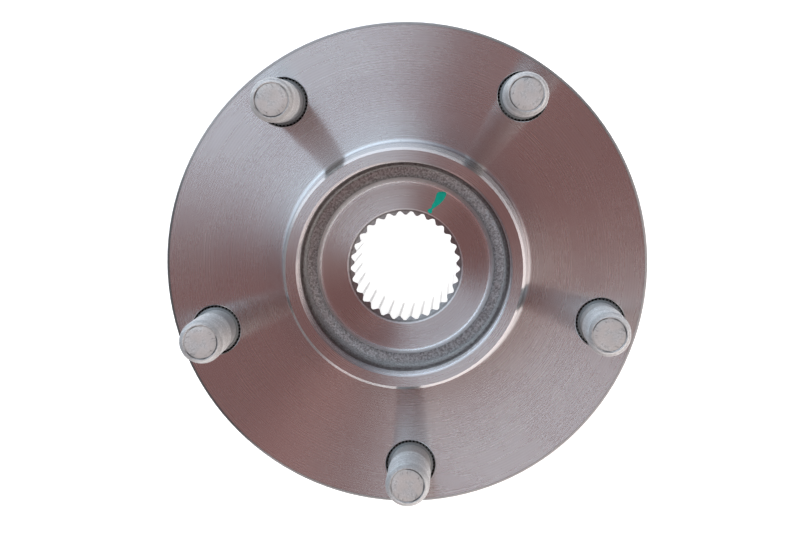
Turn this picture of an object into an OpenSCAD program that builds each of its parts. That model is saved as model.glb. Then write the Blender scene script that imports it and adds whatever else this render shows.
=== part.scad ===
/* [Wheel flange] */
// Diameter of the round wheel flange
flange_d = 135.5; // [128:0.5:150]
// Thickness of the wheel flange where the studs are pressed in
flange_t = 10; // [8:0.5:13]
// Bevel on both edges of the flange rim
flange_bevel = 0.7; // [0.3:0.1:1.5]
// How far the thick root stands behind the flange
root_t = 3.5; // [2:0.5:6]

/* [Pilots] */
// Diameter of the step that centres the brake disc
disc_pilot_d = 68; // [67:0.5:71]
// Height of the brake disc step above the wheel face
disc_pilot_h = 7; // [5:0.5:9]
// Diameter of the step that centres the wheel
wheel_pilot_d = 66; // [63:0.5:66.5]
// Height of the pilot ring above the wheel face
pilot_h = 18; // [15:0.5:20]
// Bevel on the edges of the pilot ring
pilot_bevel = 0.7; // [0.3:0.1:1.2]
// Radius of the fillet where the pilot ring meets the wheel face
pilot_fillet = 1.6; // [0.8:0.1:2.5]
// Diameter of the turned wall inside the pilot ring
cup_d = 58; // [56.5:0.5:59]
// Depth of the turned wall inside the pilot ring
cup_depth = 7.8; // [4:0.2:8.5]
// Bevel at the top of the turned wall
cup_bevel = 0.5; // [0.2:0.1:1]

/* [Axle boss] */
// Diameter of the boss that the axle nut seats on
boss_d = 49.2; // [46:0.2:50]
// Height of the nut seat above the wheel face
boss_h = 8; // [6.5:0.5:9.5]
// Radius of the rounded edge of the nut seat
boss_round = 2; // [0.8:0.1:2.4]
// Height of the forged groove's floor above the wheel face
groove_floor_h = 2.6; // [1:0.1:4]

/* [Splined bore] */
// Number of teeth in the splined bore
spline_teeth = 29; // [24:1:33]
// Diameter across the tips of the spline teeth
spline_tip_d = 28.4; // [27:0.1:29]
// Diameter across the roots of the spline teeth
spline_root_d = 30.4; // [30:0.1:31.4]
// Angle from the +X axis to the middle of the first tooth space
spline_turn = -4.7; // [-6:0.1:6]
// Length of the spline, measured from the nut seat
spline_l = 44; // [36:1:54]
// Diameter of the turned step at the mouth of the spline
mouth_d = 31.4; // [31:0.1:33]
// Depth of the turned step below the nut seat
mouth_depth = 1.2; // [0.6:0.1:2]
// Diameter of the plain bore behind the spline
relief_d = 32; // [31.6:0.2:34]

/* [Ball rows] */
// Diameter of the circle through the ball centres
pitch_d = 62; // [61:0.5:64]
// Diameter of a ball
ball_d = 12.7; // [11.5:0.1:13]
// Number of balls in each row
balls_per_row = 13; // [10:1:13]
// Distance between the centres of the two rows
row_pitch = 19; // [18:0.5:24]
// Angle of the load line from the plane of a row, in degrees
contact_angle = 36; // [30:1:40]
// Raceway radius as a share of the ball diameter
conformity = 0.52; // [0.515:0.005:0.54]
// Gap between a ball and its raceways
running_gap = 0.1; // [0.06:0.01:0.12]
// Gap between a ball and its cage pocket
pocket_gap = 0.2; // [0.1:0.05:0.3]

/* [Spindle and inner ring] */
// Diameter of the spindle seat under the inner ring
seat_d = 41; // [39:0.5:42]
// How far the inner ring stands out of the outer ring
inner_ring_reach = 1; // [0.5:0.1:2]
// Diameter of the rolled rim that holds the inner ring
rim_d = 50.5; // [48:0.5:52]
// Thickness of the rolled rim
rim_t = 3.5; // [2.5:0.1:5]

/* [Outer ring] */
// Distance from the end of the outer ring to the nearest row
end_to_row = 12.5; // [12:0.5:15]
// Open gap between the flange root and the outer ring
ring_gap = 2; // [1.5:0.1:3]
// Diameter of the barrel between the two flanges
barrel_d = 85; // [83.5:0.5:87]
// Diameter of the spigot that fits in the knuckle
spigot_d = 84; // [83:0.5:86]
// Distance from the wheel face to the knuckle face
knuckle_offset = 45; // [42:0.5:48]
// Thickness of the mounting ears
ear_t = 12; // [9:0.5:14]
// Radius of the rounded end of each mounting ear
ear_r = 11; // [9:0.5:12]
// Radius of the hollow curve between the ears
ear_hollow_r = 30; // [16:1:38]
// Diameter of the mounting flange between the ears
ear_core_d = 91; // [89:0.5:96]
// Number of mounting bolts
ear_count = 4; // [3:1:5]
// Pitch circle diameter of the mounting bolts
knuckle_pcd = 112; // [108:0.5:114]
// Outside diameter of the thread in the mounting holes
ear_hole_d = 12; // [10:0.5:14]

/* [Wheel studs] */
// Number of wheel studs
stud_count = 5; // [4:1:6]
// Distance from the axis of a stud to the edge of the flange
stud_edge = 10.6; // [10:0.1:12]
// Outside diameter of the stud thread
stud_d = 12; // [10:0.5:12]
// How far a stud stands out of the wheel face
stud_l = 30; // [24:0.5:40]
// Pitch of the stud thread
thread_pitch = 1.5; // [1.25:0.25:1.75]
// Depth of the stud thread
thread_depth = 0.8; // [0.5:0.05:0.85]
// Height above the wheel face where the thread begins
thread_start = 1.5; // [1:0.5:6]
// Diameter across the knurl that grips the flange
knurl_d = 14.25; // [13.5:0.05:15]
// Number of ridges round the knurl
knurl_teeth = 40; // [24:2:44]
// Depth of the knurl's ridges
knurl_depth = 0.35; // [0.25:0.05:0.5]
// How far the knurl stops below the wheel face
knurl_recess = 1.2; // [0.8:0.1:2.5]
// Diameter of the stud head
head_d = 18.5; // [17:0.5:19.5]
// Thickness of the stud head
head_t = 4.2; // [3:0.2:6]
// Gap between a stud head and the thick root of the flange
head_clearance = 4.4; // [2.5:0.1:6]
// Diameter of the flat point of a stud
point_d = 8.9; // [7:0.1:9]
// Length of the bevel at the point of a stud
point_l = 1.7; // [1:0.1:2.5]

/* [Seals and cages] */
// Width of each seal
seal_w = 4.5; // [4.2:0.1:4.8]
// Thickness of the steel in the seals
seal_plate_t = 0.6; // [0.5:0.05:0.8]
// Gap between a seal lip and the steel it runs on
lip_gap = 0.3; // [0.2:0.05:0.4]
// Thickness of the magnetic encoder ring
encoder_t = 0.8; // [0.6:0.1:1]
// Thickness of the cage's closed end behind each ball
heel_t = 1; // [0.6:0.1:1.2]

/* [Hidden] */
$fn = 96;

// How far a cut runs past a face, and the solid inside the spline that the bore takes away
cut = 0.5;
stock = 3;

// Bevels of the bearing rings, and how much wider the knurl is than its hole
edge_bevel = 0.6;
seat_bevel = 1.4;
knurl_bite = 0.24;

// Radii that follow from the diameters above
flange_r = flange_d / 2;
stud_circle_r = flange_r - stud_edge;
root_r = stud_circle_r - head_d / 2 - head_clearance;
disc_pilot_r = disc_pilot_d / 2;
wheel_pilot_r = wheel_pilot_d / 2;
cup_r = cup_d / 2;
boss_r = boss_d / 2;
tip_r = spline_tip_d / 2;
root_circle_r = spline_root_d / 2;
mouth_r = mouth_d / 2;
relief_r = relief_d / 2;
pitch_r = pitch_d / 2;
ball_r = ball_d / 2;
seat_r = seat_d / 2;
rim_r = rim_d / 2;
barrel_r = barrel_d / 2;
spigot_r = spigot_d / 2;
stud_hole_r = (knurl_d - knurl_bite) / 2;

// Raceways: the shoulders rise on the loaded side and stay low on the other
groove_r = ball_d * conformity;
groove_shift = groove_r - ball_r - running_gap;
high_shoulder_angle = 65;
low_shoulder_angle = 20;
hub_shoulder_r = pitch_r - ball_r * cos(high_shoulder_angle);
hub_low_r = pitch_r - ball_r * cos(low_shoulder_angle);
land_r = pitch_r + ball_r * cos(high_shoulder_angle);
seal_bore_r = pitch_r + ball_r * cos(low_shoulder_angle);
seal_land_step = 0.8;
seal_land_r = hub_shoulder_r + seal_land_step;

// Seals: the rubber covers the web with a skin and ends in a bead inside it
web_gap = 2.4;
bead = 1;
skin_t = 0.7;
lip_root_t = 0.75;
lip_edge_t = 0.25;
slinger_air = 0.5;
slinger_out_r = seal_bore_r - seal_plate_t - slinger_air;

// Heights, with the wheel face at zero and the wheel side up
back_z = -flange_t;
root_z = back_z - root_t;
ring_top_z = root_z - ring_gap;
outboard_row_z = ring_top_z - end_to_row;
inboard_row_z = outboard_row_z - row_pitch;
ring_end_z = inboard_row_z - end_to_row;
middle_z = (outboard_row_z + inboard_row_z) / 2;
encoder_sink = 0.1;
slinger_z = ring_end_z + encoder_t + encoder_sink;
inner_ring_end_z = ring_end_z - inner_ring_reach;
rim_z = inner_ring_end_z - rim_t;
spline_end_z = boss_h - spline_l;
knuckle_z = -knuckle_offset;
ear_top_z = knuckle_z + ear_t;

first_stud_angle = -90;
first_ear_angle = 45;
first_ball_angle = 90;

bright_steel = [0.62, 0.58, 0.58];
ground_steel = [0.72, 0.72, 0.74];
forged_steel = [0.36, 0.35, 0.35];
zinc_plate = [0.66, 0.68, 0.68];
black_rubber = [0.08, 0.08, 0.08];
cage_plastic = [0.82, 0.76, 0.60];
plain_steel = [0.55, 0.56, 0.58];
encoder_rubber = [0.20, 0.18, 0.17];

function two_digits(i) = i < 10 ? str("0", i) : str(i);
STUDS = [for (i = [1 : stud_count]) str("wheel_stud_", i)];
OUTBOARD_BALLS = [for (i = [1 : balls_per_row]) str("outboard_ball_", two_digits(i))];
INBOARD_BALLS = [for (i = [1 : balls_per_row]) str("inboard_ball_", two_digits(i))];

// Points along an arc, from one angle to another
function arc(x, y, r, from, to, steps = 6) =
    [for (i = [0 : steps]) let (a = from + (to - from) * i / steps) [x + r * cos(a), y + r * sin(a)]];

// Places its children round the axis, the first at a given angle
module around(count, first, radius) {
    for (i = [0 : count - 1])
        rotate(first + i * 360 / count) translate([radius, 0, 0]) children();
}

// One raceway: side is 1 for a groove outside the balls and -1 for one inside them,
// and lean is 1 for the outboard row and -1 for the inboard row
module raceway(row_z, side, lean) {
    groove_x = pitch_r - side * groove_shift * cos(contact_angle);
    groove_y = row_z + side * lean * groove_shift * sin(contact_angle);
    rotate_extrude() translate([groove_x, groove_y]) circle(r = groove_r);
}

// Involute angle, in degrees
function involute(a) = tan(a) * 180 / PI - a;
// Half the angle across a spline space at radius r
function space_half_angle(r, mean_r, pressure) =
    90 / spline_teeth + involute(pressure) - involute(acos(mean_r * cos(pressure) / r));

// The splined bore seen along the axis: one involute space for each tooth
module spline_outline() {
    pressure = 45;
    mean_r = (tip_r + root_circle_r) / 2;
    radii = [tip_r, mean_r, root_circle_r];
    polygon([
        for (tooth = [0 : spline_teeth - 1])
            for (k = [0 : 5])
                let (
                    r = radii[k < 3 ? k : 5 - k],
                    side = k < 3 ? -1 : 1,
                    a = tooth * 360 / spline_teeth + side * space_half_angle(r, mean_r, pressure)
                ) [r * cos(a), r * sin(a)]
    ]);
}

// Half section of the hub, from the nut seat out to the flange and down the spindle
module hub_section() {
    core_r = tip_r - stock;
    groove_round = 0.9;
    forged_wall_r = cup_r - 1.2;
    forged_draft = 2;
    cup_ledge_w = 1;
    cup_corner = 0.5;
    cup_floor_z = pilot_h - cup_depth;
    step_z = disc_pilot_h + (disc_pilot_r - wheel_pilot_r);
    land_past_ball = 0.9;
    land_end_z = outboard_row_z + ball_r + land_past_ball;
    land_fillet = 2.2;
    root_slope = 1.5;
    rim_round = 1.6;
    rim_round_start = 20;
    polygon(concat(
        [[core_r, boss_h]],
        arc(boss_r - boss_round, boss_h - boss_round, boss_round, 90, 0),
        arc(boss_r + groove_round, groove_floor_h + groove_round, groove_round, 180, 270),
        arc(forged_wall_r - groove_round, groove_floor_h + groove_round, groove_round, -90, -forged_draft),
        [[cup_r - cup_ledge_w, cup_floor_z]],
        arc(cup_r - cup_corner, cup_floor_z + cup_corner, cup_corner, -90, 0),
        [[cup_r, pilot_h - cup_bevel], [cup_r + cup_bevel, pilot_h]],
        [[wheel_pilot_r - pilot_bevel, pilot_h], [wheel_pilot_r, pilot_h - pilot_bevel]],
        [[wheel_pilot_r, step_z], [disc_pilot_r, disc_pilot_h]],
        arc(disc_pilot_r + pilot_fillet, pilot_fillet, pilot_fillet, 180, 270, steps = 8),
        [[flange_r - flange_bevel, 0], [flange_r, -flange_bevel]],
        [[flange_r, back_z + flange_bevel], [flange_r - flange_bevel, back_z]],
        [[root_r + root_slope, back_z], [root_r, root_z]],
        arc(seal_land_r + land_fillet, root_z - land_fillet, land_fillet, 90, 180),
        [[seal_land_r, land_end_z], [hub_shoulder_r, land_end_z - (seal_land_r - hub_shoulder_r)]],
        [[hub_shoulder_r, outboard_row_z], [hub_low_r, outboard_row_z]],
        [[hub_low_r, middle_z + edge_bevel], [hub_low_r - edge_bevel, middle_z], [seat_r, middle_z]],
        [[seat_r, inner_ring_end_z + seat_bevel], [seat_r + seat_bevel, inner_ring_end_z]],
        [[rim_r - edge_bevel, inner_ring_end_z]],
        arc(rim_r - rim_round, rim_z + rim_round, rim_round, rim_round_start, -90),
        [[core_r, rim_z]]
    ));
}

// Hub spindle and wheel flange in one forging, with the outboard raceway ground into it
module wheel_hub() {
    mouth_bevel = 0.35;
    tooth_lead = 0.6;
    mouth_z = boss_h - mouth_depth;
    rear_lead = 1.6;
    hole_bevel = 0.2;
    color(bright_steel) difference() {
        rotate_extrude() hub_section();
        raceway(outboard_row_z, -1, 1);
        translate([0, 0, spline_end_z]) rotate(spline_turn) linear_extrude(spline_l + cut) spline_outline();
        rotate_extrude() polygon([
            [0, mouth_z - tooth_lead - cut],
            [tip_r, mouth_z - tooth_lead],
            [root_circle_r, mouth_z],
            [mouth_r, mouth_z],
            [mouth_r, boss_h - mouth_bevel],
            [mouth_r + mouth_bevel + cut, boss_h + cut],
            [0, boss_h + cut]
        ]);
        translate([0, 0, rim_z - cut]) cylinder(r = relief_r, h = spline_end_z - rim_z + cut);
        translate([0, 0, rim_z - cut])
            cylinder(r1 = relief_r + rear_lead + cut, r2 = relief_r, h = rear_lead + cut);
        around(stud_count, first_stud_angle, stud_circle_r) {
            translate([0, 0, back_z - cut]) cylinder(r = stud_hole_r, h = flange_t + 2 * cut);
            translate([0, 0, -hole_bevel])
                cylinder(r1 = stud_hole_r, r2 = stud_hole_r + hole_bevel + cut, h = hole_bevel + cut);
        }
    }
}

// Small inner ring with the inboard raceway, pressed on the spindle
module inner_ring() {
    color(ground_steel) difference() {
        rotate_extrude() polygon([
            [seat_r + edge_bevel, middle_z],
            [hub_low_r - edge_bevel, middle_z],
            [hub_low_r, middle_z - edge_bevel],
            [hub_low_r, inboard_row_z],
            [hub_shoulder_r, inboard_row_z],
            [hub_shoulder_r, inner_ring_end_z + edge_bevel],
            [hub_shoulder_r - edge_bevel, inner_ring_end_z],
            [seat_r + seat_bevel, inner_ring_end_z],
            [seat_r, inner_ring_end_z + seat_bevel],
            [seat_r, middle_z - edge_bevel]
        ]);
        raceway(inboard_row_z, -1, -1);
    }
}

// Outline of the mounting flange: a round core, a lobe for each bolt and hollow curves between them
module ear_outline() {
    core_r = ear_core_d / 2;
    bolt_r = knuckle_pcd / 2;
    reach = core_r + ear_hollow_r;
    swing = acos((reach ^ 2 + bolt_r ^ 2 - (ear_r + ear_hollow_r) ^ 2) / (2 * reach * bolt_r));
    circle(r = core_r);
    around(ear_count, first_ear_angle, 0) {
        translate([bolt_r, 0]) circle(r = ear_r);
        for (side = [-1, 1]) difference() {
            polygon([[0, 0], [bolt_r, 0], [reach * cos(swing), side * reach * sin(swing)]]);
            rotate(side * swing) translate([reach, 0]) circle(r = ear_hollow_r);
        }
    }
}

// Outer ring: two raceways, a barrel, a spigot for the knuckle and the mounting ears
module outer_ring() {
    fillet = 2.5;
    barrel_bevel = 1.5;
    relief_w = 1;
    relief_depth = 0.5;
    spigot_lead = 1.5;
    hole_bevel = 0.7;
    color(forged_steel) difference() {
        union() {
            rotate_extrude() polygon(concat([
                [seal_bore_r + edge_bevel, ring_top_z],
                [barrel_r - barrel_bevel, ring_top_z],
                [barrel_r, ring_top_z - barrel_bevel]],
                arc(barrel_r + fillet, ear_top_z + fillet, fillet, 180, 270), [
                [barrel_r + fillet, knuckle_z],
                [spigot_r + relief_w, knuckle_z],
                [spigot_r + relief_w, knuckle_z + relief_depth],
                [spigot_r, knuckle_z + relief_depth],
                [spigot_r, ring_end_z + spigot_lead],
                [spigot_r - spigot_lead / 2, ring_end_z],
                [seal_bore_r + edge_bevel, ring_end_z],
                [seal_bore_r, ring_end_z + edge_bevel],
                [seal_bore_r, inboard_row_z],
                [land_r, inboard_row_z],
                [land_r, outboard_row_z],
                [seal_bore_r, outboard_row_z],
                [seal_bore_r, ring_top_z - edge_bevel]
            ]));
            translate([0, 0, knuckle_z]) linear_extrude(ear_t) difference() {
                ear_outline();
                circle(r = spigot_r + relief_w);
            }
        }
        raceway(outboard_row_z, 1, 1);
        raceway(inboard_row_z, 1, -1);
        around(ear_count, first_ear_angle, knuckle_pcd / 2) {
            translate([0, 0, knuckle_z - cut]) cylinder(d = ear_hole_d, h = ear_t + 2 * cut);
            translate([0, 0, knuckle_z - cut])
                cylinder(r1 = ear_hole_d / 2 + hole_bevel + cut, r2 = ear_hole_d / 2, h = hole_bevel + cut);
            translate([0, 0, ear_top_z - hole_bevel])
                cylinder(r1 = ear_hole_d / 2, r2 = ear_hole_d / 2 + hole_bevel + cut, h = hole_bevel + cut);
        }
    }
}

// Snap-in cage: a closed end on the seal side and a pair of horns between neighbouring balls
module cage(row_z, lean) {
    inner_air = 1.3;
    outer_reach = 3.4;
    cage_in_r = hub_shoulder_r + inner_air;
    cage_out_r = pitch_r + outer_reach;
    cage_bevel = 0.5;
    heel_top = ball_r + pocket_gap + heel_t;
    horn_reach = 2.6;
    horn_slot_w = 0.9;
    horn_slot_depth = 1.8;
    color(cage_plastic) translate([0, 0, row_z]) mirror([0, 0, lean > 0 ? 0 : 1]) difference() {
        rotate_extrude() polygon([
            [cage_in_r, -horn_reach],
            [cage_out_r - cage_bevel, -horn_reach],
            [cage_out_r, -horn_reach + cage_bevel],
            [cage_out_r, heel_top - cage_bevel],
            [cage_out_r - cage_bevel, heel_top],
            [cage_in_r, heel_top]
        ]);
        around(balls_per_row, first_ball_angle, pitch_r) sphere(r = ball_r + pocket_gap);
        around(balls_per_row, first_ball_angle + 180 / balls_per_row, cage_in_r - cut)
            translate([0, -horn_slot_w / 2, -horn_reach - cut])
                cube([cage_out_r - cage_in_r + 2 * cut, horn_slot_w, horn_slot_depth + cut]);
    }
}

// One ball of a row
module ball(row_z, index) {
    color(ground_steel) rotate(first_ball_angle + (index - 1) * 360 / balls_per_row)
        translate([pitch_r, 0, row_z]) sphere(r = ball_r);
}

// One rubber lip in section, tapering from a thick root to a thin edge
module lip(root, edge, root_w) {
    along = atan2(edge[1] - root[1], edge[0] - root[0]);
    across = [-sin(along), cos(along)];
    polygon([
        root + across * root_w / 2,
        root - across * root_w / 2,
        edge - across * lip_edge_t / 2,
        edge + across * lip_edge_t / 2
    ]);
}

// Steel case of a seal: a sleeve pressed in the outer ring and a flat web behind the rubber.
// The end of the outer ring lies at end_z, and way is 1 where the bearing lies below it
module seal_case(end_z, way, web_in_r) {
    web_z = end_z - way * seal_w;
    color(plain_steel) rotate_extrude() polygon([
        [seal_bore_r, end_z - way * edge_bevel],
        [seal_bore_r, web_z],
        [web_in_r, web_z],
        [web_in_r, web_z + way * seal_plate_t],
        [seal_bore_r - seal_plate_t, web_z + way * seal_plate_t],
        [seal_bore_r - seal_plate_t, end_z - way * edge_bevel]
    ]);
}

module outboard_seal_case() seal_case(ring_top_z, 1, seal_land_r + web_gap);
module inboard_seal_case() seal_case(ring_end_z, -1, hub_shoulder_r + seal_plate_t + web_gap);

// Rubber of the outboard seal: two side lips towards the flange root and two lips on the spindle
module outboard_seal_lips() {
    web_z = ring_top_z - seal_w;
    floor_z = web_z + seal_plate_t;
    run_r = seal_land_r + lip_gap;
    web_in_r = seal_land_r + web_gap;
    outer_r = seal_bore_r - seal_plate_t;
    side_edge_z = root_z - lip_gap - lip_edge_t / 2;
    side_root_z = floor_z + skin_t / 2;
    outer_lip_root = 1.1;
    outer_lip_edge = 0.2;
    inner_lip_root = 2.9;
    inner_lip_edge = 1.6;
    raised_lip_h = 1.7;
    color(black_rubber) rotate_extrude() {
        polygon([
            [web_in_r - bead, web_z],
            [web_in_r, web_z],
            [web_in_r, floor_z],
            [outer_r, floor_z],
            [outer_r, floor_z + skin_t],
            [web_in_r - bead, floor_z + skin_t]
        ]);
        lip([outer_r - outer_lip_root, side_root_z], [outer_r - outer_lip_edge, side_edge_z], lip_root_t);
        lip([outer_r - inner_lip_root, side_root_z], [outer_r - inner_lip_edge, side_edge_z], lip_root_t);
        lip([web_in_r - bead / 2, side_root_z], [run_r + lip_edge_t, floor_z + raised_lip_h], lip_root_t);
        lip(
            [web_in_r - bead / 2, web_z + lip_root_t / 2],
            [run_r + lip_edge_t, web_z + lip_edge_t],
            lip_root_t
        );
    }
}

// Rubber of the inboard seal: a side lip towards the slinger and one lip on its sleeve
module inboard_seal_lips() {
    web_z = ring_end_z + seal_w;
    floor_z = web_z - seal_plate_t;
    run_r = hub_shoulder_r + seal_plate_t + lip_gap;
    web_in_r = hub_shoulder_r + seal_plate_t + web_gap;
    outer_r = seal_bore_r - seal_plate_t;
    side_edge_z = slinger_z + seal_plate_t + lip_gap + lip_edge_t / 2;
    side_root_z = floor_z - skin_t / 2;
    side_lip_root = 1.6;
    side_lip_edge = 2.6;
    raised_lip_h = 1;
    color(black_rubber) rotate_extrude() {
        polygon([
            [web_in_r - bead, web_z],
            [web_in_r - bead, floor_z - skin_t],
            [outer_r, floor_z - skin_t],
            [outer_r, floor_z],
            [web_in_r, floor_z],
            [web_in_r, web_z]
        ]);
        lip([web_in_r + side_lip_root, side_root_z], [web_in_r + side_lip_edge, side_edge_z], lip_root_t);
        lip([web_in_r - bead / 2, side_root_z], [run_r + lip_edge_t, floor_z - raised_lip_h], lip_root_t);
    }
}

// Steel slinger pressed on the inner ring, closing the inboard end of the bearing
module seal_slinger() {
    sleeve_short = 0.7;
    sleeve_top_z = ring_end_z + seal_w - sleeve_short;
    color(plain_steel) rotate_extrude() polygon([
        [hub_shoulder_r, slinger_z],
        [slinger_out_r, slinger_z],
        [slinger_out_r, slinger_z + seal_plate_t],
        [hub_shoulder_r + seal_plate_t, slinger_z + seal_plate_t],
        [hub_shoulder_r + seal_plate_t, sleeve_top_z],
        [hub_shoulder_r, sleeve_top_z]
    ]);
}

// Magnetic encoder ring bonded to the slinger
module encoder_ring() {
    inner_edge = 1.6;
    color(encoder_rubber) rotate_extrude() polygon([
        [hub_shoulder_r + inner_edge, slinger_z - encoder_t],
        [slinger_out_r, slinger_z - encoder_t],
        [slinger_out_r, slinger_z],
        [hub_shoulder_r + inner_edge, slinger_z]
    ]);
}

// Star-shaped section of the knurl
module knurl_outline() {
    steps = 2 * knurl_teeth;
    polygon([for (i = [0 : steps - 1])
        let (r = knurl_d / 2 - (i % 2) * knurl_depth, a = i * 360 / steps) [r * cos(a), r * sin(a)]]);
}

// One turn of the thread in section, as a ring groove that starts at height z
function thread_groove(z) = let (
    crest_r = stud_d / 2,
    flank = thread_depth * tan(30),
    crest = thread_pitch / 8,
    root = thread_pitch - crest - 2 * flank
) [
    [crest_r, z],
    [crest_r - thread_depth, z + flank],
    [crest_r - thread_depth, z + flank + root],
    [crest_r, z + 2 * flank + root]
];

// Press-in wheel stud: head, knurl and threaded shank with a cupped point
module wheel_stud(index) {
    thread_end = stud_l - point_l;
    turns = floor((thread_end - thread_start) / thread_pitch);
    stud_r = stud_d / 2;
    point_r = point_d / 2;
    cup_lip = 0.35;
    cup_sink = 0.25;
    head_bevel = 0.8;
    under_knurl = 0.2;
    core_r = knurl_d / 2 - knurl_depth - under_knurl;
    knurl_lead = 0.3;
    shoulder_inset = 0.1;
    shoulder_r = core_r - shoulder_inset;
    shoulder_end = 0.2;
    color(zinc_plate)
        rotate(first_stud_angle + (index - 1) * 360 / stud_count) translate([stud_circle_r, 0, 0]) {
            rotate_extrude() polygon(concat([
                [0, back_z - head_t],
                [head_d / 2 - head_bevel, back_z - head_t],
                [head_d / 2, back_z - head_t + head_bevel],
                [head_d / 2, back_z],
                [core_r, back_z],
                [core_r, -knurl_recess - knurl_lead],
                [shoulder_r, -knurl_recess],
                [stud_r, shoulder_end]],
                [for (i = [0 : turns - 1]) each thread_groove(thread_start + i * thread_pitch)], [
                [stud_r, thread_end],
                [point_r, stud_l],
                [point_r - cup_lip, stud_l],
                [point_r - cup_lip - cup_sink, stud_l - cup_sink],
                [0, stud_l - cup_sink]
            ]));
            translate([0, 0, back_z]) linear_extrude(flange_t - knurl_recess - knurl_lead) knurl_outline();
        }
}

wheel_hub();
inner_ring();
outer_ring();
cage(outboard_row_z, 1);  // outboard_cage
cage(inboard_row_z, -1);  // inboard_cage
outboard_seal_case();
outboard_seal_lips();
inboard_seal_case();
inboard_seal_lips();
seal_slinger();
encoder_ring();
for (i = [1 : stud_count]) wheel_stud(i);
for (i = [1 : balls_per_row]) ball(outboard_row_z, i);
for (i = [1 : balls_per_row]) ball(inboard_row_z, i);
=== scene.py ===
# %% [markdown]
# # A wheel hub bearing on a white table
#
# The part is a driven wheel hub unit, lying on its inboard end so that the wheel face looks up.
# A round turned flange carries five pressed-in studs and a double pilot ring. In the middle a
# splined bore takes the axle. Below the flange an outer ring with four ears holds two rows of
# balls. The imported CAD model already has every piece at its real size, so this script adds what
# CAD leaves out: threads, forged skin, paint, and the finish of each metal.

import math
from functools import reduce

import bmesh
import bpy
import numpy as np
from mathutils import Matrix, Vector, noise
from mathutils.bvhtree import BVHTree


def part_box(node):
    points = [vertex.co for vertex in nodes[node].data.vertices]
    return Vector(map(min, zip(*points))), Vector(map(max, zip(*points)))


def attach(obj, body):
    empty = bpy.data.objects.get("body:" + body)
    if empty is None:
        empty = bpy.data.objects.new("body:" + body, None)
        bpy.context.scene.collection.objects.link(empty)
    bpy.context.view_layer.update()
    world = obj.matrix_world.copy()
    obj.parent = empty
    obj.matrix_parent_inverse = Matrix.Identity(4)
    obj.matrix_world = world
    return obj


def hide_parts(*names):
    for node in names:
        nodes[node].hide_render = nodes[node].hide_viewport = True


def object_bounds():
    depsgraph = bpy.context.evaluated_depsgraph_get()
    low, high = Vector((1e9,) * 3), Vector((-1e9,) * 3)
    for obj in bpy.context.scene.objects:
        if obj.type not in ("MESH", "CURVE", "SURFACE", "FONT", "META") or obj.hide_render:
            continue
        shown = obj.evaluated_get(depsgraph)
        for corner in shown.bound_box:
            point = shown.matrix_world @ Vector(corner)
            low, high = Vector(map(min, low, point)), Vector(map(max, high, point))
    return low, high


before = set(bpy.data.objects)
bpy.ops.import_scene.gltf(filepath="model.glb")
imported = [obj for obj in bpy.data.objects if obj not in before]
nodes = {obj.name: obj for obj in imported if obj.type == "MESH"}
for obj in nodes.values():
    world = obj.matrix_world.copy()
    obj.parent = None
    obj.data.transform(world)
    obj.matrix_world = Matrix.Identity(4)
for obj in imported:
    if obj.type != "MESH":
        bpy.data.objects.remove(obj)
cad_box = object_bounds()
MM = 0.001


def in_mm(box):
    """The six numbers of a box, in millimetres and rounded for printing."""
    return [round(number / MM, 1) for corner in box for number in corner]


print("CAD nodes:", len(nodes), "box in mm:", in_mm(cad_box))

# %% [markdown]
# ## The camera
#
# The photograph looks almost straight down on the wheel face from about half a metre. The studs
# lean outwards a little more at the bottom than at the top, which shows that the lens stood
# above the upper edge of the flange. A camera is a place, a point it looks at and a focal length,
# so those are the three things written here. The frame is 800 pixels wide.

# %% Camera
FRAME_WIDTH = 800
FOCAL_PIXELS = 1723
SENSOR_WIDTH = 36
CAMERA_PLACE = Vector((15.75, 35.68, 483.9)) * MM
CAMERA_TARGET = Vector((-1.72, -0.66, 0)) * MM
CAMERA_UP = Vector((0.0225, 0.9997, 0))


def aim(place, target, up):
    """The matrix of a camera or lamp at place that looks at target with up towards its top."""
    back = (place - target).normalized()
    right = up.cross(back).normalized()
    turn = Matrix((right, back.cross(right), back)).transposed()
    return Matrix.Translation(place) @ turn.to_4x4()


scene = bpy.context.scene
camera = bpy.data.objects.new("camera", bpy.data.cameras.new("camera"))
scene.collection.objects.link(camera)
camera.matrix_world = aim(CAMERA_PLACE, CAMERA_TARGET, CAMERA_UP)
camera.data.sensor_width = SENSOR_WIDTH
camera.data.lens = SENSOR_WIDTH * FOCAL_PIXELS / FRAME_WIDTH
camera.data.clip_start, camera.data.clip_end = 0.01, 20
scene.camera = camera
scene.view_settings.view_transform = "Standard"
print("lens in mm:", round(camera.data.lens, 2))

# %% [markdown]
# ## A few words for making shaders
#
# A finish is a small tree of shader nodes. Typing every node and link in full hides the idea, so
# `add` makes one node and feeds its inputs in order, and the rest are shorter names for what
# comes up again and again: arithmetic, vectors, mixing two colours, and values that rise or fall
# between two limits. Each returns a socket that the next call can take.

# %% Nodes and arithmetic
def feed(tree, socket, value):
    """Puts a link or a constant into a socket. None leaves it as it is."""
    if isinstance(value, bpy.types.NodeSocket):
        tree.links.new(value, socket)
    elif value is not None:
        socket.default_value = value


def add(tree, kind, *values, **settings):
    """Makes a node, sets it and feeds its first inputs."""
    node = tree.nodes.new("ShaderNode" + kind)
    for name, value in settings.items():
        setattr(node, name, value)
    for socket, value in zip(node.inputs, values):
        feed(tree, socket, value)
    return node


def calc(tree, operation, *values):
    """One step of arithmetic."""
    return add(tree, "Math", *values, operation=operation).outputs[0]


def vector(tree, operation, *values):
    """One step of arithmetic on vectors."""
    return add(tree, "VectorMath", *values, operation=operation).outputs[0]


def times(tree, *values):
    """The product of two or more values."""
    return reduce(lambda so_far, value: calc(tree, "MULTIPLY", so_far, value), values)


def plus(tree, *values):
    """The sum of two or more values."""
    return reduce(lambda so_far, value: calc(tree, "ADD", so_far, value), values)


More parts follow.
